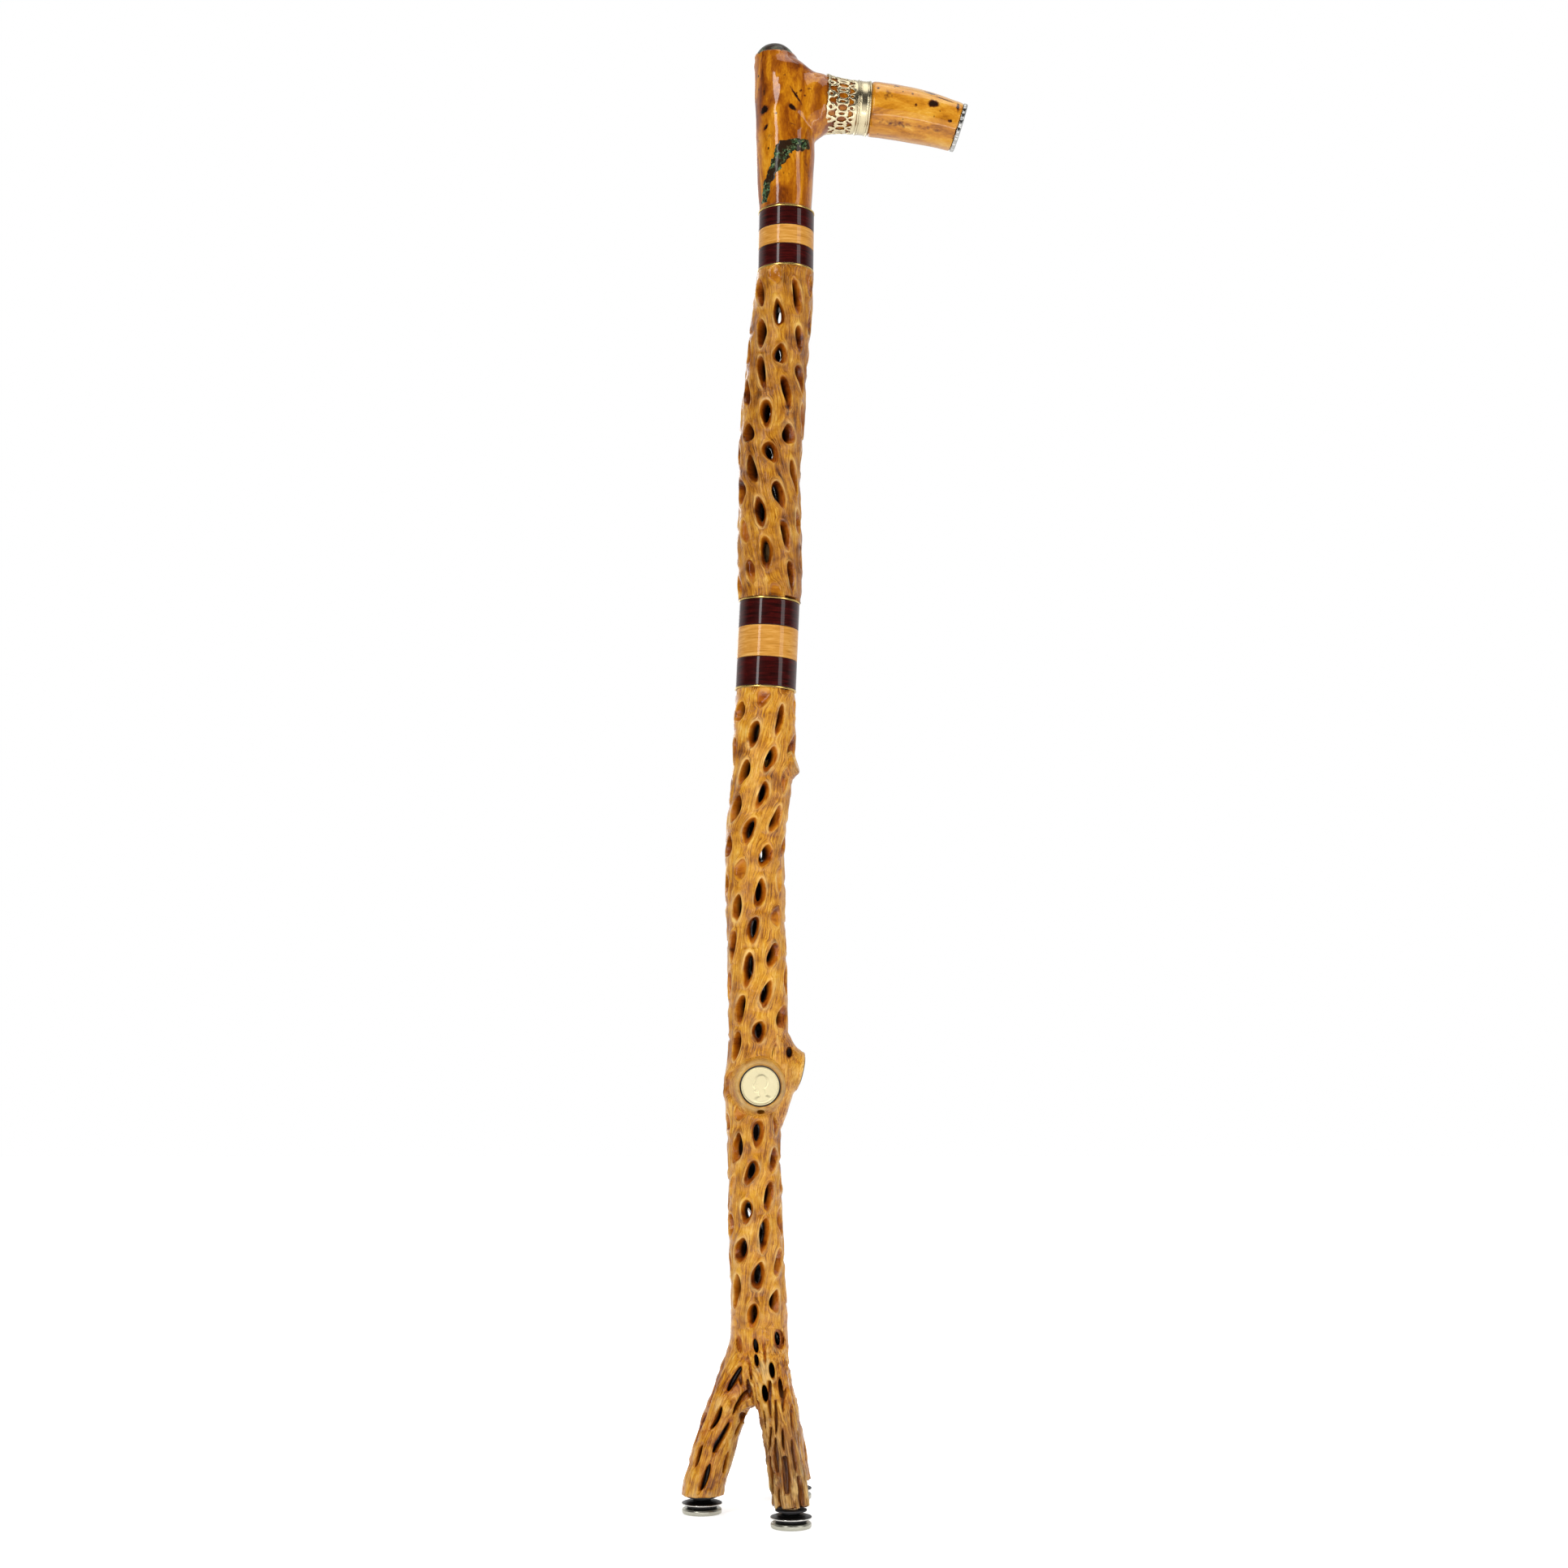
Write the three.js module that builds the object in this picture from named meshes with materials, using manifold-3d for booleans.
// Tripod walking cane of lacquered cholla wood.
// A pierced cactus-wood shaft stands on three natural legs with cushioned swivel glides.
// Two stacks of turned wood bands join it to a forked hardwood handle with a collared grip.
// Millimetres, +Z up. The grip points along +X and the coin knot faces -Y.
import * as THREE from 'three';
import { mergeVertices } from 'three/addons/utils/BufferGeometryUtils.js';
import Module from 'manifold-3d';

const wasm = await Module();
wasm.setup();

// Clearances between pieces
const FIT = 0.3; // round a dowel, stem, plug or coin
const GLUE = 0.15; // glue line between two stacked faces
const SWIVEL_GAP = 0.35; // running gap round the ball of a glide

// Swivel glides, from the floor up
const BASE_RADIUS = 12.3; // nickel-plated base that stands on the floor
const BASE_THICKNESS = 3.6;
const BASE_EDGE = 1.1; // rounding of the base's lower edge
const CUSHION_RADIUS = 9.6; // rubber bonded on the base
const CUSHION_THICKNESS = 1.4;
const BALL_RADIUS = 2.6; // ball at the foot of the stem
const BALL_HEIGHT = 4.4; // ball centre above the floor
const SEAT_WALL = 1.0; // nylon seat round the ball
const SEAT_HALF = 1.4; // half the height of the nylon seat
const SOCKET_TOP = 1.6; // top of the socket above the ball's centre
const SOCKET_TURN = 2; // how far below the ball's centre the socket goes straight down
const CAP_RADIUS = 12.6; // dished cap over the cushion
const CAP_RIM_HEIGHT = 5.9; // underside of the cap's rim above the floor
const CAP_RISE = 1.5; // how far the dish climbs from rim to crown
const CAP_WALL = 0.8;
const CAP_CROWN = 5.4; // radius of the flat crown
const GASKET_RADIUS = 9.6; // black lip between cap and leg end
const GASKET_NECK = 5.6;
const GASKET_THICKNESS = 2.6;
const STEM_RADIUS = 1.9;
const STEM_DEPTH = 8; // how far the stem runs up into the leg
const PLUG_RADIUS = 4.3; // wooden plug drilled into the end of a leg
const PLUG_LENGTH = 10;

// Legs: feet on the floor, and the path that each leg takes up to the fork
const LEG_CORE_RADIUS = 5.2; // pith hole of a leg
const LEG_COLUMNS = 6;
const LEG_PITCH = 21;
const LEG_HOLE_LENGTH = 13;
const LEG_HOLE_WIDTH = 5;
const LEG_HOLES_TOP = 70; // the wood is whole above this height
const LEFT_FOOT = [-50.5, -10];
const LEFT_ROOT_RADIUS = 15.2; // at the fork
const LEFT_END_RADIUS = 13; // at the foot
const FRONT_FOOT = [4.2, -56];
const FRONT_ROOT_RADIUS = 13.4;
const FRONT_END_RADIUS = 10.4;
const BACK_FOOT = [5.2, 41];
const BACK_ROOT_RADIUS = 13.8;
const BACK_END_RADIUS = 11.6;
const LEGS = [
  ['left', LEFT_FOOT, LEFT_ROOT_RADIUS, LEFT_END_RADIUS],
  ['front', FRONT_FOOT, FRONT_ROOT_RADIUS, FRONT_END_RADIUS],
  ['back', BACK_FOOT, BACK_ROOT_RADIUS, BACK_END_RADIUS],
];
const LEG_BOW = 0.35; // legs leave the fork wide and straighten towards the floor
const FORK_HEIGHT = 100; // where the legs leave the shaft
const CROTCH_HEIGHT = 63;
const CROTCH_RADIUS = 11.5;
const LEG_ROOT_RADIUS = 12.4;
const LEG_ROOT_HEIGHT = 114; // top of a leg, hidden inside the shaft
const LEG_ROOT_OFFSET = 4.5; // how far it stands off the shaft's axis
const HEART_LAP = 1; // solid wood in the fork laps over the pith holes by this much

// Lower shaft of cholla wood
const LOWER_LENGTH = 413; // fork to the middle bands
const LOWER_X = -15.2; // axis at the fork
const LOWER_Y = -8;
const LOWER_COLUMNS = 8;
const LOWER_PITCH = 24;
const LOWER_ROW_SHIFT = 3 / LOWER_COLUMNS; // of a pitch per column, so that no hole faces another
const LOWER_TWIST = 0.0105; // radians per millimetre
const LOWER_HOLE_LENGTH = 14;
const LOWER_HOLE_WIDTH = 6;
const CORE_RADIUS = 9.6; // pith hole of both shafts
const HOLE_WANDER = 0.35; // how much the holes differ in size and place
const HOLE_RIM = 0.6; // raised wood beside a hole
const HOLE_MARGIN = 1.5; // whole wood at the ends of a shaft
const BARK_RADIUS = 18; // usual outer radius of the lower shaft
const TRUNK_TAPER = 4; // how much the shaft narrows as it sinks between the legs
const SCAR_MARGIN = 3.5; // solid wood left round a branch scar
// Shares of the length, sideways drift of the axis, radius
const LOWER_PATH = [
  [0, 0, 18.2], [0.06, -0.6, 17.2], [0.15, -2, 16.6], [0.28, -3.6, 16.2], [0.36, -3.2, 16.6],
  [0.45, -0.8, 18.3], [0.55, -1.6, 18.6], [0.68, -3.2, 18.3], [0.76, -3.4, 18.6],
  [0.85, 0.6, 19], [0.93, 2.6, 19.4], [1, 3.2, 18.8],
];

// Middle bands
const MIDDLE_LEAN = THREE.MathUtils.degToRad(2.5);
const MIDDLE_Y = -2;
const MIDDLE_RADIUS = 19.6;
const MIDDLE_DARK_LOWER = 18.6;
const MIDDLE_LIGHT = 20.4;
const MIDDLE_DARK_UPPER = 17;
const RING_THICKNESS = 1.1; // brass rings at the ends of a stack
const RING_PROUD = 0.25;

// Upper shaft of cholla wood
const UPPER_LENGTH = 221;
const UPPER_COLUMNS = 9;
const UPPER_PITCH = 27;
const UPPER_TWIST = -0.009;
const UPPER_HOLE_LENGTH = 16.5;
const UPPER_HOLE_WIDTH = 6;
const UPPER_PATH = [
  [0, 0, 20.2], [0.2, 0.1, 20.2], [0.4, 0, 19.8], [0.55, 2, 20.8],
  [0.7, 4.3, 19.4], [0.85, 7.7, 19.2], [1, 10.4, 18.4],
];

// Upper bands
const UPPER_LEAN = THREE.MathUtils.degToRad(0.8);
const UPPER_RADIUS = 18.4;
const UPPER_DARK_LOWER = 13.4;
const UPPER_LIGHT = 12.6;
const UPPER_DARK_UPPER = 12.2;

// Dowels hidden in the bands and the shaft ends
const DOWEL_RADIUS = 6.35;
const MIDDLE_DOWEL_DEPTH = 38; // into each shaft
const UPPER_DOWEL_DEPTH = 25; // into the upper shaft
const HANDLE_DOWEL_DEPTH = 38; // into the handle

// Handle
const NECK_BOTTOM_RADIUS = 17.4;
const NECK_RADIUS = 19.6;
const NECK_HEIGHT = 117; // bands to the top of the dome
const DOME_RADIUS = 14.4;
const DOME_OFFSET = -8.8; // the dome leans away from the grip
const CAP_STONE_HEIGHT = 5.4; // green inlay on top of the dome
const ARM_HEIGHT = 78; // grip axis above the foot of the handle
const ARM_YAW = THREE.MathUtils.degToRad(5);
const ARM_PITCH = THREE.MathUtils.degToRad(3);
const ARM_RADIUS = 16.2; // wood under the collar
const ARM_FLARE = 2.6; // extra radius where the arm leaves the neck
const ARM_SPLIT = 48; // hidden joint between handle and grip
const INLAY_DEPTH = 6; // crack inlay into the neck

// Grip, measured along the arm from the neck's axis
const GRIP_END = 114;
const GRIP_RADIUS = 18.1;
const GRIP_END_RADIUS = 16.4;
const GRIP_DROP = 6.6; // how far the end curves down
const GRIP_DOWEL_RADIUS = 5;
const GRIP_DOWEL_LENGTH = 46;

// Collar of pierced and engraved metal
const COLLAR_START = 24;
const COLLAR_END = 54.5;
const COLLAR_WALL = 0.8;
const COLLAR_FIT = 0.45; // between the wood and the collar
const COLLAR_COLUMNS = 14;
const LACE_LENGTH = 20;
const LACE_HOLE_WIDTH = 4.2;

// Coins, their dark beds, and the beaded bezel on the grip
const COIN_RADIUS = 12.13;
const COIN_THICKNESS = 1.75;
const SIDE_COIN_RADIUS = 8.95;
const COIN_RIM = 0.9;
const COIN_SUNK = 0.25; // field below the rim
const BED_WALL = 0.5;
const BED_FLOOR = 0.7;
const FRONT_COIN_HEIGHT = 160.7; // above the fork
const FRONT_COIN_REACH = 20.6; // from the shaft's axis to the front coin
const FRONT_COIN_TURN = THREE.MathUtils.degToRad(8); // from straight in front towards the grip's side
const BOSS_RADIUS = 15.6; // wood left round the front coin
const SIDE_KNOT_HEIGHT = 176; // above the fork
const SIDE_KNOT_REACH = 28.5; // from the shaft's axis to the side coin
const SIDE_KNOT_RADIUS = 11.6;
const SIDE_KNOT_ROOT = 21; // half the height at which the side knot swells out of the shaft
const SIDE_KNOT_DROOP = THREE.MathUtils.degToRad(12);
const SIDE_KNOT_TURN = THREE.MathUtils.degToRad(8);
const STUB_HEIGHT = 357; // small cut branch above the fork
const STUB_REACH = 24;
const STUB_RADIUS = 5.5;
const STUB_DIRECTION = [1, -0.2, 0.35];
const BEZEL_THICKNESS = 3;
const BOSS_EDGE = 1.2; // rounding of a boss's edge
const BEZEL_BEADS = 16;
const BEZEL_BEAD_DEPTH = 0.7;

// Faceting
const ROUND = 20; // bands, neck and grip
const DISC_ROUND = 16; // coins and glides
const SMALL_ROUND = 10; // stems, plugs and dowels
const HEART_SIDES = 8; // solid wood inside the fork

// Heights that follow from the sizes above
const footTop = CAP_RIM_HEIGHT + CAP_RISE + CAP_WALL + GLUE + GASKET_THICKNESS;
const legEnd = footTop + GLUE;
const lowerTop = FORK_HEIGHT + LOWER_LENGTH;
const middleBands = [
  ['middle_ring_lower', RING_THICKNESS, RING_PROUD, 'brass'],
  ['middle_band_dark_lower', MIDDLE_DARK_LOWER, 0, 'darkWood'],
  ['middle_band_light', MIDDLE_LIGHT, 0, 'paleWood'],
  ['middle_band_dark_upper', MIDDLE_DARK_UPPER, 0, 'darkWood'],
  ['middle_ring_upper', RING_THICKNESS, RING_PROUD, 'brass'],
];
const upperBands = [
  ['upper_ring_lower', RING_THICKNESS, RING_PROUD, 'brass'],
  ['upper_band_dark_lower', UPPER_DARK_LOWER, 0, 'darkWood'],
  ['upper_band_light', UPPER_LIGHT, 0, 'paleWood'],
  ['upper_band_dark_upper', UPPER_DARK_UPPER, 0, 'darkWood'],
  ['upper_ring_upper', RING_THICKNESS, RING_PROUD, 'brass'],
];
const stackHeight = (bands) => bands.reduce((sum, band) => sum + band[1] + GLUE, GLUE);
const middleHeight = stackHeight(middleBands);
const upperHeight = stackHeight(upperBands);

// Materials
const paint = (color, roughness, metalness = 0) => () =>
  new THREE.MeshStandardMaterial({ color, roughness, metalness });
const MATERIALS = {
  cholla: paint(0xb9712b, 0.35),
  darkWood: paint(0x2c1112, 0.2),
  paleWood: paint(0xd9a25a, 0.25),
  handleWood: paint(0xc27a22, 0.2),
  dowelWood: paint(0xc9a878, 0.7),
  stone: paint(0x2f4a3a, 0.4),
  brass: paint(0xc9a04c, 0.3, 1),
  collarMetal: paint(0xd8c9a0, 0.3, 1),
  coinMetal: paint(0xe3d9b0, 0.35, 1),
  epoxy: paint(0x17110d, 0.4),
  nickel: paint(0xb9b7a8, 0.25, 1),
  darkSteel: paint(0x3a3a40, 0.35, 1),
  rubber: paint(0x121214, 0.8),
  nylon: paint(0xd8d4c8, 0.6),
};

const X = new THREE.Vector3(1, 0, 0);
const Y = new THREE.Vector3(0, 1, 0);
const Z = new THREE.Vector3(0, 0, 1);

const cane = new THREE.Group();

function addPiece(name, geometry, material, parent = cane) {
  const piece = new THREE.Mesh(geometry, MATERIALS[material]());
  piece.name = name;
  parent.add(piece);
  return piece;
}

// Solids
function solid(geometry) {
  const bare = geometry.clone();
  bare.deleteAttribute('normal');
  bare.deleteAttribute('uv');
  const merged = mergeVertices(bare, 1e-5);
  return new wasm.Manifold(new wasm.Mesh({
    numProp: 3,
    vertProperties: new Float32Array(merged.attributes.position.array),
    triVerts: new Uint32Array(merged.index.array),
  }));
}

function geometryOf(body) {
  const mesh = body.getMesh();
  const geometry = new THREE.BufferGeometry();
  const stride = mesh.numProp;
  const places = new Float32Array(mesh.numVert * 3);
  for (let i = 0; i < mesh.numVert; i += 1) {
    places.set(mesh.vertProperties.subarray(i * stride, i * stride + 3), i * 3);
  }
  geometry.setAttribute('position', new THREE.BufferAttribute(places, 3));
  geometry.setIndex(Array.from(mesh.triVerts));
  return geometry;
}

// A turned solid on the Z axis from [radius, height] points that start and end on the axis
// or, when closed, run round a ring.
function turned(points, sides = ROUND, closed = false) {
  const outline = points.map(([radius, height]) => new THREE.Vector2(radius, height));
  if (closed) outline.push(outline[0].clone());
  const geometry = new THREE.LatheGeometry(outline, sides);
  geometry.rotateX(Math.PI / 2);
  return geometry;
}

// A plain round bar from one height to another on the Z axis
function bar(radius, bottom, top, sides = ROUND) {
  return turned([[0, bottom], [radius, bottom], [radius, top], [0, top]], sides);
}

// A ring with a square section on the Z axis
function washer(inner, outer, bottom, top, sides = ROUND) {
  return turned([[inner, bottom], [outer, bottom], [outer, top], [inner, top]], sides, true);
}

// Moves a shape's Z axis to a point and a direction
function aimed(geometry, point, direction) {
  const turn = new THREE.Quaternion().setFromUnitVectors(Z, direction.clone().normalize());
  return geometry.clone().applyQuaternion(turn).translate(point.x, point.y, point.z);
}

// Value in a column of a station table, on a smooth curve through the stations
function along(stations, share, column) {
  const last = stations.length - 1;
  let i = 0;
  while (i < last - 1 && share > stations[i + 1][0]) i += 1;
  const [before, from, to, after] = [
    stations[Math.max(i - 1, 0)], stations[i], stations[i + 1], stations[Math.min(i + 2, last)]];
  const span = to[0] - from[0];
  const t = THREE.MathUtils.clamp((share - from[0]) / span, 0, 1);
  const slopeFrom = (to[column] - before[column]) / (to[0] - before[0]) * span;
  const slopeTo = (after[column] - from[column]) / (after[0] - from[0]) * span;
  const t2 = t * t;
  const t3 = t2 * t;
  return (2 * t3 - 3 * t2 + 1) * from[column] + (t3 - 2 * t2 + t) * slopeFrom
    + (3 * t2 - 2 * t3) * to[column] + (t3 - t2) * slopeTo;
}

// A loft through rings of points, closed at both ends by a fan
function loft(rings) {
  const sides = rings[0].length;
  const places = [];
  rings.forEach((ring) => ring.forEach((point) => places.push(point.x, point.y, point.z)));
  const faces = [];
  for (let i = 0; i + 1 < rings.length; i += 1) {
    for (let j = 0; j < sides; j += 1) {
      const a = i * sides + j;
      const b = i * sides + (j + 1) % sides;
      faces.push(a, b, b + sides, a, b + sides, a + sides);
    }
  }
  [[0, false], [rings.length - 1, true]].forEach(([i, top]) => {
    const middle = new THREE.Vector3();
    rings[i].forEach((point) => middle.addScaledVector(point, 1 / sides));
    const hub = places.length / 3;
    places.push(middle.x, middle.y, middle.z);
    for (let j = 0; j < sides; j += 1) {
      const a = i * sides + j;
      const b = i * sides + (j + 1) % sides;
      if (top) faces.push(a, b, hub);
      else faces.push(b, a, hub);
    }
  });
  const geometry = new THREE.BufferGeometry();
  geometry.setAttribute('position', new THREE.Float32BufferAttribute(places, 3));
  geometry.setIndex(faces);
  return geometry;
}

// An ellipse of points round a centre, in the plane of two unit directions
function ellipse(centre, across, up, halfAcross, halfUp, sides = ROUND) {
  return Array.from({ length: sides }, (_, j) => {
    const angle = j / sides * 2 * Math.PI;
    return centre.clone()
      .addScaledVector(across, halfAcross * Math.cos(angle))
      .addScaledVector(up, halfUp * Math.sin(angle));
  });
}

// Pierced tube: the wood skeleton of a cholla, and the lace of the collar.
// Columns of pointed oval holes run up the tube, each column set off from the next, so that
// the wood left between them weaves round the hollow. Each strip between two columns is
// zipped from the right edge of one column to the left edge of the next.
const HOLE_EDGE = [[-1, 0], [-0.38, 1], [0.38, 1], [1, 0]]; // share of half length, half width

function piercedTube(tube) {
  const { bottom, top, columns, pitch, twist, holeLength, holeWidth, wander } = tube;
  const shift = tube.rowShift ?? Math.floor(columns / 2) / columns; // from column to column
  const places = [];
  const faces = [];
  const inner = new Map();
  const put = (angle, height, radius, endHeight) => {
    const [x, y] = tube.centre(height);
    const px = x + radius * Math.cos(angle);
    const py = y + radius * Math.sin(angle);
    places.push(px, py, endHeight ? endHeight(px, py) : height);
    return places.length / 3 - 1;
  };
  // One corner is a pair of points: on the bark side, and on the pith side.
  const corner = (angle, height, swell, endHeight) => {
    const outside = put(angle, height, tube.outer(height) + swell, endHeight);
    inner.set(outside, put(angle, height, tube.core(height), endHeight));
    return outside;
  };
  const both = (a, b, c) => {
    faces.push(a, b, c, inner.get(a), inner.get(c), inner.get(b));
  };
  const wall = (a, b) => {
    faces.push(a, b, inner.get(b), a, inner.get(b), inner.get(a));
  };
  const step = 2 * Math.PI / columns;
  const edges = [];
  for (let c = 0; c < columns; c += 1) {
    const angleAt = (height) => c * step + twist * (height - bottom);
    const start = { id: corner(angleAt(bottom), bottom, 0, tube.bottomPlane), height: bottom };
    const edge = { left: [start], right: [start], angleAt };
    const rows = Math.ceil((top - bottom) / pitch) + 2;
    for (let r = -2; r < rows; r += 1) {
      const roll = Math.sin(12.9898 * (c + 1) + 78.233 * (r + 3)) * 43758.5453;
      const chance = roll - Math.floor(roll);
      const half = holeLength / 2 * (1 + wander * (chance - 0.5));
      const middle = tube.firstHole + pitch * (r + c * shift) + wander * pitch * 0.2 * (chance - 0.5);
      if (middle - half < tube.holesFrom || middle + half > tube.holesTo) continue;
      if (tube.covered && tube.covered(angleAt(middle), middle)) continue;
      const wide = holeWidth / 2 * (1 + wander * (0.5 - chance));
      const ring = { left: [], right: [] };
      HOLE_EDGE.forEach(([lengthShare, widthShare], k) => {
        const height = middle + lengthShare * half;
        const turn = widthShare * wide / tube.outer(middle);
        const tip = k === 0 || k === HOLE_EDGE.length - 1;
        const swell = tip ? -tube.rim / 2 : tube.rim;
        const right = { id: corner(angleAt(height) + turn, height, swell), height };
        const left = tip ? right : { id: corner(angleAt(height) - turn, height, swell), height };
        ring.right.push(right);
        ring.left.push(left);
      });
      const loop = [...ring.right, ...ring.left.slice(1, -1).reverse()];
      loop.forEach((point, i) => wall(point.id, loop[(i + 1) % loop.length].id));
      edge.left.push(...ring.left);
      edge.right.push(...ring.right);
    }
    const end = { id: corner(angleAt(top), top, 0, tube.topPlane), height: top };
    edge.left.push(end);
    edge.right.push(end);
    edges.push(edge);
  }
  const point = (id) => new THREE.Vector3().fromArray(places, id * 3);
  for (let c = 0; c < columns; c += 1) {
    const near = edges[c].right;
    const far = edges[(c + 1) % columns].left;
    const middleOf = (height, plane) =>
      corner(edges[c].angleAt(height) + step / 2, height, 0, plane);
    const low = middleOf(bottom, tube.bottomPlane);
    const high = middleOf(top, tube.topPlane);
    wallRing(near[0].id, low, false);
    wallRing(low, far[0].id, false);
    wallRing(near[near.length - 1].id, high, true);
    wallRing(high, far[far.length - 1].id, true);
    let i = 0;
    let j = 0;
    const strip = [];
    while (i < near.length - 1 || j < far.length - 1) {
      const a = near[i].id;
      const b = far[j].id;
      const goNear = i < near.length - 1 && (j === far.length - 1
        || point(near[i + 1].id).distanceTo(point(b)) < point(far[j + 1].id).distanceTo(point(a)));
      if (goNear) {
        strip.push([a, b, near[i + 1].id]);
        i += 1;
      } else {
        strip.push([a, b, far[j + 1].id]);
        j += 1;
      }
    }
    const first = strip.shift();
    both(first[0], low, first[2]);
    both(low, first[1], first[2]);
    const final = strip.pop();
    const endNear = near[near.length - 1].id;
    const endFar = far[far.length - 1].id;
    const third = final.find((id) => id !== endNear && id !== endFar);
    both(third, endFar, high);
    both(third, high, endNear);
    strip.forEach((face) => both(...face));
  }
  // Flat end between the outer and the inner edge
  function wallRing(a, b, isTop) {
    if (isTop) faces.push(a, b, inner.get(b), a, inner.get(b), inner.get(a));
    else faces.push(b, a, inner.get(a), b, inner.get(a), inner.get(b));
  }
  const geometry = new THREE.BufferGeometry();
  geometry.setAttribute('position', new THREE.Float32BufferAttribute(places, 3));
  geometry.setIndex(faces);
  return geometry;
}

// Height of a leaning plane through a point, for the oblique saw cuts at the bands
const cutPlane = (x0, z0, lean) => (x) => z0 - Math.tan(lean) * (x - x0);

// Frames of the band stacks
function stackFrame(x, y, z, lean) {
  const frame = new THREE.Group();
  frame.position.set(x, y, z);
  frame.rotation.y = lean;
  frame.updateMatrixWorld();
  cane.add(frame);
  return frame;
}
const middleX = LOWER_X + LOWER_PATH[LOWER_PATH.length - 1][1];
const middleFrame = stackFrame(middleX, MIDDLE_Y, lowerTop, MIDDLE_LEAN);
const upperShaftFoot = new THREE.Vector3(0, 0, middleHeight).applyMatrix4(middleFrame.matrixWorld);
const upperX = upperShaftFoot.x + UPPER_PATH[UPPER_PATH.length - 1][1];
const upperShaftTop = upperShaftFoot.z + UPPER_LENGTH;
const upperFrame = stackFrame(upperX, 0, upperShaftTop, UPPER_LEAN);
const handleFoot = new THREE.Vector3(0, 0, upperHeight).applyMatrix4(upperFrame.matrixWorld);
const handleFrame = stackFrame(handleFoot.x, handleFoot.y, handleFoot.z, UPPER_LEAN);

// Shafts
const lowerShare = (height) => THREE.MathUtils.clamp((height - FORK_HEIGHT) / LOWER_LENGTH, 0, 1);
const lowerCentre = (height) => [
  LOWER_X + along(LOWER_PATH, lowerShare(height), 1),
  THREE.MathUtils.lerp(LOWER_Y, MIDDLE_Y, lowerShare(height)),
];
const forkShare = (height) => Math.max(0, (FORK_HEIGHT - height) / (FORK_HEIGHT - CROTCH_HEIGHT));

// Places on the shaft, measured from the fork, and the branch scars that grow from them
const onShaft = (height) =>
  new THREE.Vector3(...lowerCentre(FORK_HEIGHT + height), FORK_HEIGHT + height);
const SCARS = {
  front: {
    point: onShaft(FRONT_COIN_HEIGHT),
    axis: new THREE.Vector3(Math.sin(FRONT_COIN_TURN), -Math.cos(FRONT_COIN_TURN), 0),
    reach: FRONT_COIN_REACH, radius: BOSS_RADIUS, root: BOSS_RADIUS - 2, tall: BOSS_RADIUS - 2,
  },
  side: {
    point: onShaft(SIDE_KNOT_HEIGHT),
    axis: new THREE.Vector3(
      Math.cos(SIDE_KNOT_DROOP) * Math.cos(SIDE_KNOT_TURN),
      Math.cos(SIDE_KNOT_DROOP) * Math.sin(SIDE_KNOT_TURN), -Math.sin(SIDE_KNOT_DROOP)),
    reach: SIDE_KNOT_REACH, radius: SIDE_KNOT_RADIUS, root: SIDE_KNOT_RADIUS + 1, tall: SIDE_KNOT_ROOT,
  },
  stub: {
    point: onShaft(STUB_HEIGHT), axis: new THREE.Vector3(...STUB_DIRECTION).normalize(),
    reach: STUB_REACH, radius: STUB_RADIUS, root: STUB_RADIUS, tall: STUB_RADIUS,
  },
};

// No hole opens in the solid wood of a scar
function underScar(angle, height) {
  const [x, y] = lowerCentre(height);
  const bark = new THREE.Vector3(x + BARK_RADIUS * Math.cos(angle),
    y + BARK_RADIUS * Math.sin(angle), height);
  return Object.values(SCARS).some(({ point, axis, radius }) => {
    const from = bark.clone().sub(point);
    const out = from.dot(axis);
    return out > 0 && from.addScaledVector(axis, -out).length() < radius + SCAR_MARGIN;
  });
}

const trunk = piercedTube({
  covered: underScar,
  bottom: CROTCH_HEIGHT + CROTCH_RADIUS / 2,
  top: lowerTop,
  topPlane: cutPlane(middleX, lowerTop, MIDDLE_LEAN),
  centre: lowerCentre,
  outer: (height) => along(LOWER_PATH, lowerShare(height), 2) - TRUNK_TAPER * forkShare(height),
  core: () => CORE_RADIUS,
  columns: LOWER_COLUMNS,
  rowShift: LOWER_ROW_SHIFT,
  pitch: LOWER_PITCH,
  twist: LOWER_TWIST,
  holeLength: LOWER_HOLE_LENGTH,
  holeWidth: LOWER_HOLE_WIDTH,
  firstHole: FORK_HEIGHT,
  holesFrom: FORK_HEIGHT,
  holesTo: lowerTop - HOLE_MARGIN,
  wander: HOLE_WANDER,
  rim: HOLE_RIM,
});

const upperShare = (height) =>
  THREE.MathUtils.clamp((height - upperShaftFoot.z) / UPPER_LENGTH, 0, 1);
const upperShaft = piercedTube({
  bottom: upperShaftFoot.z,
  top: upperShaftTop,
  bottomPlane: cutPlane(upperShaftFoot.x, upperShaftFoot.z, MIDDLE_LEAN),
  topPlane: cutPlane(upperX, upperShaftTop, UPPER_LEAN),
  centre: (height) => [
    upperShaftFoot.x + along(UPPER_PATH, upperShare(height), 1),
    THREE.MathUtils.lerp(MIDDLE_Y, 0, upperShare(height)),
  ],
  outer: (height) => along(UPPER_PATH, upperShare(height), 2),
  core: () => CORE_RADIUS,
  columns: UPPER_COLUMNS,
  pitch: UPPER_PITCH,
  twist: UPPER_TWIST,
  holeLength: UPPER_HOLE_LENGTH,
  holeWidth: UPPER_HOLE_WIDTH,
  firstHole: upperShaftFoot.z,
  holesFrom: upperShaftFoot.z + HOLE_MARGIN,
  holesTo: upperShaftTop - HOLE_MARGIN,
  wander: HOLE_WANDER,
  rim: HOLE_RIM,
});
addPiece('shaft_upper', upperShaft, 'cholla');

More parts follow.
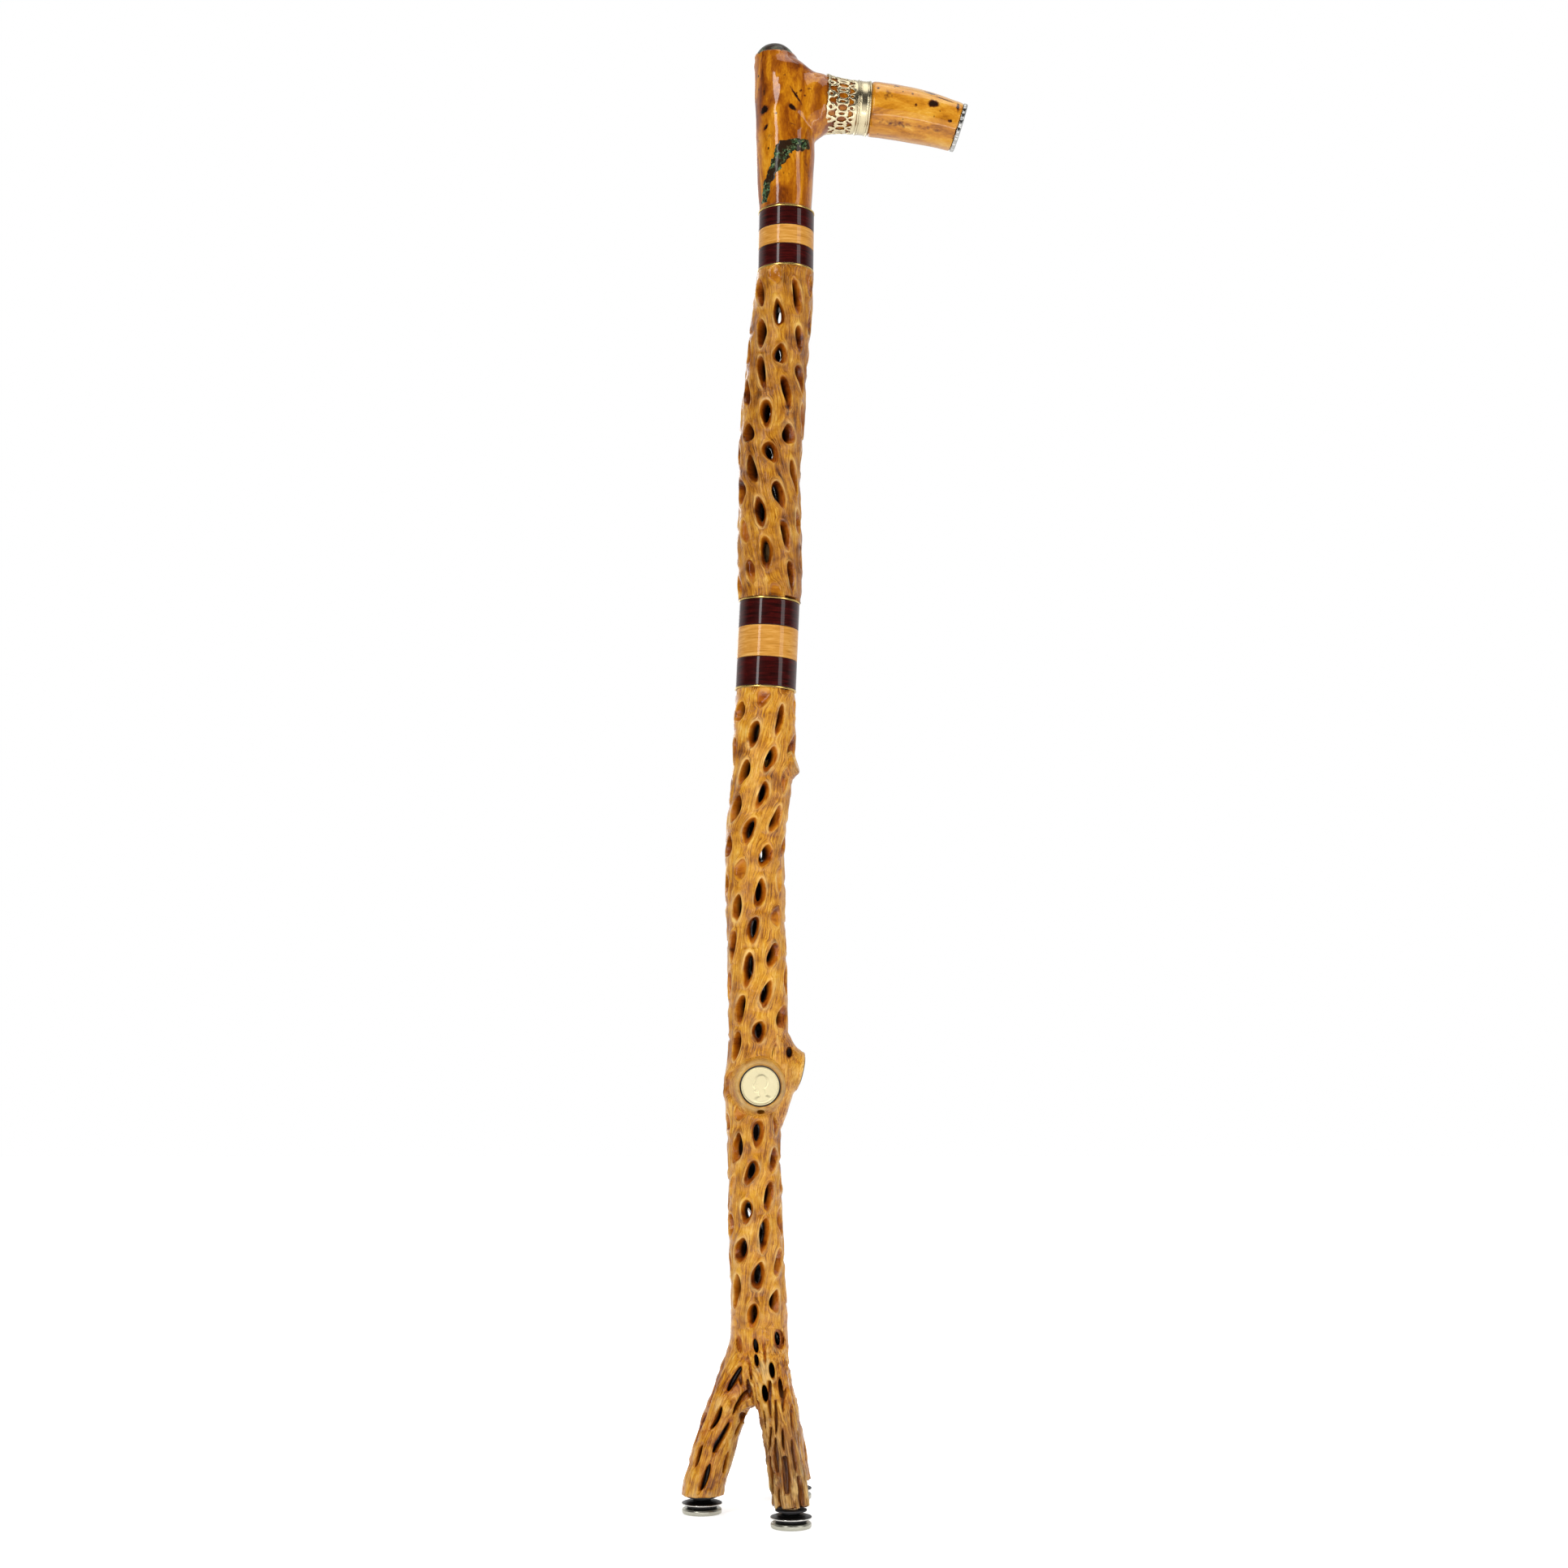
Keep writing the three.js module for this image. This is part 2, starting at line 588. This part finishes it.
// Legs: each path runs from inside the shaft down to its foot, straightening as it goes
const legShare = (height) =>
  THREE.MathUtils.clamp((FORK_HEIGHT - height) / (FORK_HEIGHT - legEnd), 0, 1);
const legCentre = ([footX, footY]) => (height) => {
  const [axisX, axisY] = lowerCentre(FORK_HEIGHT);
  const reach = Math.hypot(footX - axisX, footY - axisY);
  const share = legShare(height);
  const offset = LEG_ROOT_OFFSET
    + (reach - LEG_ROOT_OFFSET) * share * (1 + LEG_BOW * (1 - share));
  return [axisX + (footX - axisX) / reach * offset, axisY + (footY - axisY) / reach * offset];
};

function legTube([, foot, rootRadius, endRadius]) {
  return piercedTube({
    bottom: legEnd,
    top: LEG_ROOT_HEIGHT,
    centre: legCentre(foot),
    outer: (height) => (height > FORK_HEIGHT ? LEG_ROOT_RADIUS
      : THREE.MathUtils.lerp(rootRadius, endRadius, Math.sqrt(legShare(height)))),
    core: () => LEG_CORE_RADIUS,
    columns: LEG_COLUMNS,
    pitch: LEG_PITCH,
    twist: LOWER_TWIST,
    holeLength: LEG_HOLE_LENGTH,
    holeWidth: LEG_HOLE_WIDTH,
    firstHole: legEnd + LEG_PITCH / 2,
    holesFrom: legEnd + 4,
    holesTo: LEG_HOLES_TOP,
    wander: HOLE_WANDER,
    rim: HOLE_RIM,
  });
}

// A branch scar: a boss that swells out of the shaft, tall at its root, and ends in a round flat face
function boss({ point, axis, reach, radius, root, tall }) {
  const up = new THREE.Vector3(0, 0, 1).addScaledVector(axis, -axis.z).normalize();
  const side = up.clone().cross(axis);
  const from = CORE_RADIUS + FIT;
  // Place along the axis, half width, half height
  const rings = [
    [from, root, tall],
    [THREE.MathUtils.lerp(from, reach, 0.5), Math.max(radius, root) + BOSS_EDGE,
      Math.max(THREE.MathUtils.lerp(radius, tall, 0.45), radius) + BOSS_EDGE],
    [reach - BOSS_EDGE, radius, radius],
    [reach, radius - BOSS_EDGE, radius - BOSS_EDGE],
  ];
  return solid(loft(rings.map(([out, wide, high]) =>
    ellipse(point.clone().addScaledVector(axis, out), side, up, wide, high, ROUND))));
}

const bedRadius = (coinRadius) => coinRadius + FIT / 2 + BED_WALL;
const bedDepth = COIN_THICKNESS + FIT / 2 + BED_FLOOR;

// The pocket that holds a coin and its bed
function pocket({ point, axis, reach }, coinRadius) {
  const floor = reach - bedDepth - FIT;
  return solid(aimed(bar(bedRadius(coinRadius) + FIT, floor, reach + 5), point, axis));
}

const crotchPoint = new THREE.Vector3(...lowerCentre(CROTCH_HEIGHT), CROTCH_HEIGHT + CROTCH_RADIUS);
const crotch = solid(new THREE.SphereGeometry(CROTCH_RADIUS, SMALL_ROUND, 6)
  .rotateX(Math.PI / 2).translate(crotchPoint.x, crotchPoint.y, crotchPoint.z));

// Solid wood at the heart of the fork, where the pith of the shaft and of the legs ends
const heartwood = (centre, radius, heights) => solid(loft(heights.map((height) =>
  ellipse(new THREE.Vector3(...centre(height), height), X, Y, radius, radius, HEART_SIDES))));
const legHearts = LEGS.map(([, foot]) => heartwood(legCentre(foot), LEG_CORE_RADIUS + HEART_LAP,
  [LEG_HOLES_TOP, (LEG_HOLES_TOP + FORK_HEIGHT) / 2, LEG_ROOT_HEIGHT - HEART_LAP]));
const trunkHeart = heartwood(lowerCentre, CORE_RADIUS + HEART_LAP,
  [CROTCH_HEIGHT + CROTCH_RADIUS, LEG_ROOT_HEIGHT + HEART_LAP]);
const plugHole = ([, [x, y]]) =>
  solid(bar(PLUG_RADIUS + FIT, legEnd - 1, legEnd + PLUG_LENGTH + FIT, SMALL_ROUND).translate(x, y, 0));

// Of a body's shells, only the outermost: a hollow that the fork closes off becomes wood
const outermost = (body) => body.decompose()
  .reduce((best, shell) => (shell.volume() > best.volume() ? shell : best));

const fork = [trunkHeart, ...legHearts, crotch]
  .reduce((wood, heart) => wood.add(heart), solid(trunk));
const lowerShaft = outermost(LEGS
  .reduce((wood, leg) => wood.add(solid(legTube(leg))).subtract(plugHole(leg)), fork))
  .add(boss(SCARS.front))
  .add(boss(SCARS.side))
  .add(boss(SCARS.stub))
  .subtract(pocket(SCARS.front, COIN_RADIUS))
  .subtract(pocket(SCARS.side, SIDE_COIN_RADIUS));
addPiece('shaft_lower', geometryOf(lowerShaft), 'cholla');

// Coins with a raised rim, each in a dark cup of resin
function coin(radius) {
  const field = COIN_THICKNESS - COIN_SUNK;
  return turned([
    [0, 0], [radius, 0], [radius, COIN_THICKNESS], [radius - COIN_RIM, COIN_THICKNESS],
    [radius - COIN_RIM, field], [0, field],
  ], DISC_ROUND);
}

function bed(coinRadius) {
  const bore = coinRadius + FIT / 2;
  return turned([
    [0, 0], [bore + BED_WALL, 0], [bore + BED_WALL, bedDepth],
    [bore, bedDepth], [bore, BED_FLOOR], [0, BED_FLOOR],
  ], DISC_ROUND);
}

function coinInBed(name, { point, axis, reach }, radius) {
  const bedFoot = point.clone().addScaledVector(axis, reach - bedDepth);
  const coinFoot = bedFoot.clone().addScaledVector(axis, BED_FLOOR + FIT / 2);
  addPiece(`${name}_bed`, aimed(bed(radius), bedFoot, axis), 'epoxy');
  addPiece(name, aimed(coin(radius), coinFoot, axis), 'coinMetal');
}
coinInBed('coin_front', SCARS.front, COIN_RADIUS);
coinInBed('coin_side', SCARS.side, SIDE_COIN_RADIUS);

// Band stacks on their dowels
function buildStack(bands, frame, radius) {
  let height = GLUE;
  bands.forEach(([name, thickness, proud, material]) => {
    const band = washer(DOWEL_RADIUS + FIT, radius + proud, height, height + thickness);
    addPiece(name, band, material, frame);
    height += thickness + GLUE;
  });
}
buildStack(middleBands, middleFrame, MIDDLE_RADIUS);
buildStack(upperBands, upperFrame, UPPER_RADIUS);
addPiece('middle_dowel',
  bar(DOWEL_RADIUS, -MIDDLE_DOWEL_DEPTH, middleHeight + MIDDLE_DOWEL_DEPTH, SMALL_ROUND),
  'dowelWood', middleFrame);
addPiece('handle_dowel',
  bar(DOWEL_RADIUS, -UPPER_DOWEL_DEPTH, upperHeight + HANDLE_DOWEL_DEPTH, SMALL_ROUND),
  'dowelWood', upperFrame);

// Handle, in its own frame: neck on the Z axis, arm leaving it at ARM_HEIGHT
const dome = NECK_HEIGHT - ARM_HEIGHT; // from the arm's axis to the top
// Height, axis offset, half width, half depth
const neckStations = [
  [GLUE, -0.8, NECK_BOTTOM_RADIUS, NECK_BOTTOM_RADIUS],
  [ARM_HEIGHT * 0.2, -1.2, NECK_BOTTOM_RADIUS + 1.2, NECK_BOTTOM_RADIUS + 0.9],
  [ARM_HEIGHT * 0.6, -1.5, NECK_RADIUS, NECK_RADIUS - 0.8],
  [ARM_HEIGHT, -3, NECK_RADIUS, NECK_RADIUS - 0.6],
  [ARM_HEIGHT + dome * 0.49, -4.1, NECK_RADIUS - 0.4, NECK_RADIUS - 1.6],
  [ARM_HEIGHT + dome * 0.585, -5.7, NECK_RADIUS - 1.7, NECK_RADIUS - 3],
  [ARM_HEIGHT + dome * 0.67, DOME_OFFSET + 1.1, DOME_RADIUS * 1.08, DOME_RADIUS * 1.05],
  [ARM_HEIGHT + dome * 0.756, DOME_OFFSET, DOME_RADIUS, DOME_RADIUS],
  [ARM_HEIGHT + dome * 0.89, DOME_OFFSET - 0.7, DOME_RADIUS * 0.76, DOME_RADIUS * 0.76],
  [ARM_HEIGHT + dome * 0.97, DOME_OFFSET - 0.7, DOME_RADIUS * 0.47, DOME_RADIUS * 0.47],
  [NECK_HEIGHT, DOME_OFFSET - 0.7, DOME_RADIUS * 0.22, DOME_RADIUS * 0.22],
];
const neck = solid(loft(neckStations.map(([height, offset, wide, deep]) =>
  ellipse(new THREE.Vector3(offset, 0, height), X, Y, wide, deep))));

// Arm frame: X runs out along the grip, from the neck's axis
const armFrame = new THREE.Group();
armFrame.position.set(0, 0, ARM_HEIGHT);
armFrame.rotation.set(0, ARM_PITCH, ARM_YAW, 'ZYX');
armFrame.updateMatrix();
handleFrame.add(armFrame);

// The arm flares where it leaves the neck, and the collar follows the flare.
const armRadius = (place) => {
  const flare = Math.max(0, (COLLAR_START + LACE_LENGTH - place) / LACE_LENGTH);
  return ARM_RADIUS + ARM_FLARE * flare * flare;
};
const armRing = (place, radius, drop = 0) =>
  ellipse(new THREE.Vector3(place, 0, -drop), Y, Z, radius, radius);
const rootRings = [[3, ARM_RADIUS], [11, ARM_RADIUS + ARM_FLARE + 0.4], [18, ARM_RADIUS + ARM_FLARE + 0.5]]
  .map(([place, radius]) => armRing(place, radius));
const collarRings = [0, 0.25, 0.5, 0.75, 1]
  .map((share) => COLLAR_START + LACE_LENGTH * share)
  .map((place) => armRing(place, armRadius(place)));
const armStub = loft([...rootRings, ...collarRings, armRing(ARM_SPLIT - GLUE / 2, ARM_RADIUS)]);
const gripDowelFrom = ARM_SPLIT - GRIP_DOWEL_LENGTH / 2;
const gripDowelTo = ARM_SPLIT + GRIP_DOWEL_LENGTH / 2;
const gripBore = aimed(bar(GRIP_DOWEL_RADIUS + FIT, gripDowelFrom - FIT, gripDowelTo + FIT, SMALL_ROUND),
  new THREE.Vector3(), X);
const dowelBore = bar(DOWEL_RADIUS + FIT, -5, HANDLE_DOWEL_DEPTH + FIT, SMALL_ROUND);

// Plane between the neck's dome and its green stone
const stoneSeat = NECK_HEIGHT - CAP_STONE_HEIGHT;
const halfSpace = (from, to) =>
  solid(new THREE.BoxGeometry(NECK_HEIGHT, NECK_HEIGHT, to - from).translate(0, 0, (from + to) / 2));

// Filled crack: a band that follows a wandering line down the front of the neck
// Sideways place and height on the neck, half width
const CRACK_LINE = [
  [14.6, 43.3, 3], [11, 42.4, 3.9], [6, 41.2, 4.6], [0.5, 39, 5.4], [-3, 35.2, 5.4],
  [-5.4, 30, 4.5], [-9, 23.2, 3.2], [-12, 17.2, 2.4], [-13.8, 9.4, 1.8], [-14.5, 3, 1.2],
];
function crackBody(margin, depth) {
  const sides = [[], []];
  CRACK_LINE.forEach(([x, z, half], i) => {
    const before = CRACK_LINE[Math.max(i - 1, 0)];
    const after = CRACK_LINE[Math.min(i + 1, CRACK_LINE.length - 1)];
    const length = Math.hypot(after[0] - before[0], after[1] - before[1]);
    const normal = [-(after[1] - before[1]) / length, (after[0] - before[0]) / length];
    const reach = half + margin;
    const end = i === 0 ? margin : 0;
    const foot = i === CRACK_LINE.length - 1 ? margin : 0;
    const px = x + end;
    const pz = z - foot;
    sides[0].push(new THREE.Vector2(px + normal[0] * reach, pz + normal[1] * reach));
    sides[1].push(new THREE.Vector2(px - normal[0] * reach, pz - normal[1] * reach));
  });
  const outline = new THREE.Shape([...sides[0], ...sides[1].reverse()]);
  const body = new THREE.ExtrudeGeometry(outline,
    { depth: 2 * NECK_RADIUS, bevelEnabled: false, steps: 1 });
  // The extrusion's Z turns to -Y, the front of the handle
  body.rotateX(Math.PI / 2);
  return solid(body).subtract(solid(bar(NECK_RADIUS - depth, -1, NECK_HEIGHT)));
}

const neckWhole = neck.add(solid(armStub.applyMatrix4(armFrame.matrix)));
const neckWood = neckWhole
  .subtract(solid(gripBore.applyMatrix4(armFrame.matrix)))
  .subtract(solid(dowelBore))
  .subtract(halfSpace(stoneSeat, NECK_HEIGHT + 10))
  .subtract(crackBody(FIT, INLAY_DEPTH + FIT));
const capStone = neckWhole.intersect(halfSpace(stoneSeat + GLUE, NECK_HEIGHT + 10));
const crackInlay = neckWhole.intersect(crackBody(0, INLAY_DEPTH));
addPiece('handle_neck', geometryOf(neckWood), 'handleWood', handleFrame);
addPiece('cap_stone', geometryOf(capStone), 'stone', handleFrame);
addPiece('crack_inlay', geometryOf(crackInlay), 'stone', handleFrame);

// Grip: place along the arm and radius; it curves down towards its end
const gripFrom = ARM_SPLIT + GLUE / 2;
const shoulder = COLLAR_END + FIT;
const gripShare = (place) => Math.max(0, (place - shoulder) / (GRIP_END - shoulder));
const gripDrop = (place) => GRIP_DROP * gripShare(place) ** 2;
const gripSlope = 2 * GRIP_DROP / (GRIP_END - shoulder);
const gripPlaces = [
  [gripFrom, ARM_RADIUS], [shoulder, ARM_RADIUS], [shoulder + 0.1, ARM_RADIUS + COLLAR_WALL],
  [shoulder + 2, GRIP_RADIUS - 0.1], [72, GRIP_RADIUS + 0.1], [86, GRIP_RADIUS],
  [98, GRIP_RADIUS - 0.6], [106, GRIP_END_RADIUS + 0.4], [GRIP_END, GRIP_END_RADIUS],
];
const gripRings = gripPlaces.map(([place, radius]) => {
  const up = new THREE.Vector3(gripSlope * gripShare(place), 0, 1).normalize();
  return ellipse(new THREE.Vector3(place, 0, -gripDrop(place)), Y, up, radius, radius);
});
const grip = solid(loft(gripRings))
  .subtract(solid(aimed(bar(GRIP_DOWEL_RADIUS + FIT, gripDowelFrom, gripDowelTo + FIT, SMALL_ROUND),
    new THREE.Vector3(), X)));
addPiece('handle_grip', geometryOf(grip), 'handleWood', armFrame);
addPiece('grip_dowel',
  aimed(bar(GRIP_DOWEL_RADIUS, gripDowelFrom, gripDowelTo, SMALL_ROUND), new THREE.Vector3(), X),
  'dowelWood', armFrame);

// Collar: pierced lace at the neck, plain band with a bead at the grip
const collarLace = piercedTube({
  bottom: COLLAR_START,
  top: COLLAR_START + LACE_LENGTH + 2,
  centre: () => [0, 0],
  outer: (place) => armRadius(place) + COLLAR_FIT + COLLAR_WALL,
  core: (place) => armRadius(place) + COLLAR_FIT,
  columns: COLLAR_COLUMNS,
  pitch: LACE_LENGTH / 2,
  twist: 0,
  holeLength: LACE_LENGTH * 0.36,
  holeWidth: LACE_HOLE_WIDTH,
  firstHole: COLLAR_START + LACE_LENGTH * 0.3,
  holesFrom: COLLAR_START + 1.5,
  holesTo: COLLAR_START + LACE_LENGTH + 1,
  wander: 0,
  rim: 0,
});
const bandInner = ARM_RADIUS + COLLAR_FIT + 0.05;
const bandOuter = ARM_RADIUS + COLLAR_FIT + COLLAR_WALL;
const laceEnd = COLLAR_START + LACE_LENGTH;
const collarBand = turned([
  [bandInner, laceEnd + 1], [bandOuter + 0.4, laceEnd + 1], [bandOuter + 0.4, laceEnd + 2.4],
  [bandOuter, laceEnd + 2.8], [bandOuter, COLLAR_END - 1.6], [bandOuter + 0.4, COLLAR_END - 1.2],
  [bandOuter + 0.4, COLLAR_END], [bandInner, COLLAR_END],
], 2 * COLLAR_COLUMNS, true);
const collar = solid(collarLace).add(solid(collarBand));
addPiece('collar', aimed(geometryOf(collar), new THREE.Vector3(), X), 'collarMetal', armFrame);

// Beaded bezel and coin on the end of the grip
const gripEndPoint = new THREE.Vector3(GRIP_END, 0, -GRIP_DROP);
const gripEndAxis = new THREE.Vector3(1, 0, -gripSlope).normalize();
const beadCount = BEZEL_BEADS * 3;
const beadOutline = Array.from({ length: beadCount }, (_, i) => {
  const angle = i / beadCount * 2 * Math.PI;
  const radius = GRIP_END_RADIUS - BEZEL_BEAD_DEPTH * (1 - Math.abs(Math.sin(angle * BEZEL_BEADS / 2)));
  return new THREE.Vector2(radius * Math.cos(angle), radius * Math.sin(angle));
});
const bezelShape = new THREE.Shape(beadOutline);
bezelShape.holes.push(new THREE.Path().absarc(0, 0, COIN_RADIUS + FIT, 0, 2 * Math.PI, true));
const bezel = new THREE.ExtrudeGeometry(bezelShape,
  { depth: BEZEL_THICKNESS, bevelEnabled: false, curveSegments: DISC_ROUND });
const onGripEnd = (lift) => gripEndPoint.clone().addScaledVector(gripEndAxis, lift);
addPiece('grip_end_bezel', aimed(bezel, onGripEnd(GLUE), gripEndAxis), 'nickel', armFrame);
addPiece('grip_end_coin', aimed(coin(COIN_RADIUS), onGripEnd(GLUE), gripEndAxis),
  'coinMetal', armFrame);

// Cushioned swivel glides
// Half profile of a ring cut from the ball's own sphere, from one height to another
function sphereArc(radius, from, to, steps) {
  return Array.from({ length: steps + 1 }, (_, i) => {
    const angle = THREE.MathUtils.lerp(Math.asin(from / radius), Math.asin(to / radius), i / steps);
    return [radius * Math.cos(angle), BALL_HEIGHT + radius * Math.sin(angle)];
  });
}

const seatInner = BALL_RADIUS + SWIVEL_GAP;
const seatOuter = seatInner + SEAT_WALL;
const socket = seatOuter + SWIVEL_GAP;
const pocketFloor = BALL_HEIGHT - BALL_RADIUS - SWIVEL_GAP;
const crownBottom = CAP_RIM_HEIGHT + CAP_RISE;
const capTop = crownBottom + CAP_WALL;
const stemTop = legEnd + STEM_DEPTH;

function buildGlide([side, [x, y]]) {
  const glide = new THREE.Group();
  glide.position.set(x, y, 0);
  cane.add(glide);
  const place = (piece, geometry, material) =>
    addPiece(`foot_${side}_${piece}`, geometry, material, glide);
  const shankHole = STEM_RADIUS + FIT;

  place('plug', washer(shankHole, PLUG_RADIUS, legEnd, legEnd + PLUG_LENGTH, SMALL_ROUND),
    'dowelWood');

  const shoulderLift = Math.sqrt(BALL_RADIUS ** 2 - STEM_RADIUS ** 2);
  place('stem', turned([
    [0, BALL_HEIGHT - BALL_RADIUS],
    ...sphereArc(BALL_RADIUS, -BALL_RADIUS * 0.8, shoulderLift, 3),
    [STEM_RADIUS, stemTop - 2], [0, stemTop],
  ], SMALL_ROUND), 'nickel');

  place('ball_seat', turned([
    ...sphereArc(seatOuter, -SEAT_HALF, SEAT_HALF, 2),
    ...sphereArc(seatInner, -SEAT_HALF, SEAT_HALF, 2).reverse(),
  ], SMALL_ROUND, true), 'nylon');

  const collarTop = BASE_THICKNESS - BALL_HEIGHT; // base's top, from the ball's centre
  place('base', turned([
    [0, 0], [BASE_RADIUS - BASE_EDGE, 0], [BASE_RADIUS - BASE_EDGE * 0.3, BASE_EDGE * 0.3],
    [BASE_RADIUS, BASE_EDGE], [BASE_RADIUS, BASE_THICKNESS - 0.5],
    [BASE_RADIUS - 0.5, BASE_THICKNESS],
    ...sphereArc(socket, -SOCKET_TURN, collarTop, 2).reverse(),
    [Math.sqrt(socket ** 2 - SOCKET_TURN ** 2), pocketFloor], [0, pocketFloor],
  ], DISC_ROUND), 'nickel');

  const cushionFoot = BASE_THICKNESS + GLUE;
  place('cushion', turned([
    ...sphereArc(socket, cushionFoot - BALL_HEIGHT, SOCKET_TOP, 2).reverse(),
    [CUSHION_RADIUS, cushionFoot],
    [CUSHION_RADIUS, cushionFoot + CUSHION_THICKNESS],
    [socket + 2.6, cushionFoot + CUSHION_THICKNESS],
    [socket + 1.6, BALL_HEIGHT + SOCKET_TOP],
  ], DISC_ROUND, true), 'rubber');

  place('cap', turned([
    [shankHole, crownBottom], [CAP_CROWN, crownBottom], [CAP_RADIUS - 0.6, CAP_RIM_HEIGHT],
    [CAP_RADIUS, CAP_RIM_HEIGHT + 0.2], [CAP_RADIUS, CAP_RIM_HEIGHT + 0.8],
    [CAP_RADIUS - 0.8, CAP_RIM_HEIGHT + 1], [CAP_CROWN, capTop], [shankHole, capTop],
  ], DISC_ROUND, true), 'darkSteel');

  const gasketFoot = capTop + GLUE;
  place('gasket', turned([
    [shankHole, gasketFoot], [GASKET_NECK + 1.4, gasketFoot], [GASKET_NECK, gasketFoot + 0.6],
    [GASKET_NECK + 0.6, gasketFoot + 1.4], [GASKET_RADIUS, gasketFoot + 2],
    [GASKET_RADIUS, gasketFoot + GASKET_THICKNESS], [shankHole, gasketFoot + GASKET_THICKNESS],
  ], DISC_ROUND, true), 'rubber');
}
LEGS.forEach(buildGlide);

// The origin is the middle of the floor under the whole cane.
const reachOfAll = new THREE.Box3().setFromObject(cane);
const middleOfAll = reachOfAll.getCenter(new THREE.Vector3());
cane.position.set(-middleOfAll.x, -middleOfAll.y, -reachOfAll.min.z);
cane.updateMatrixWorld(true);

export default cane;
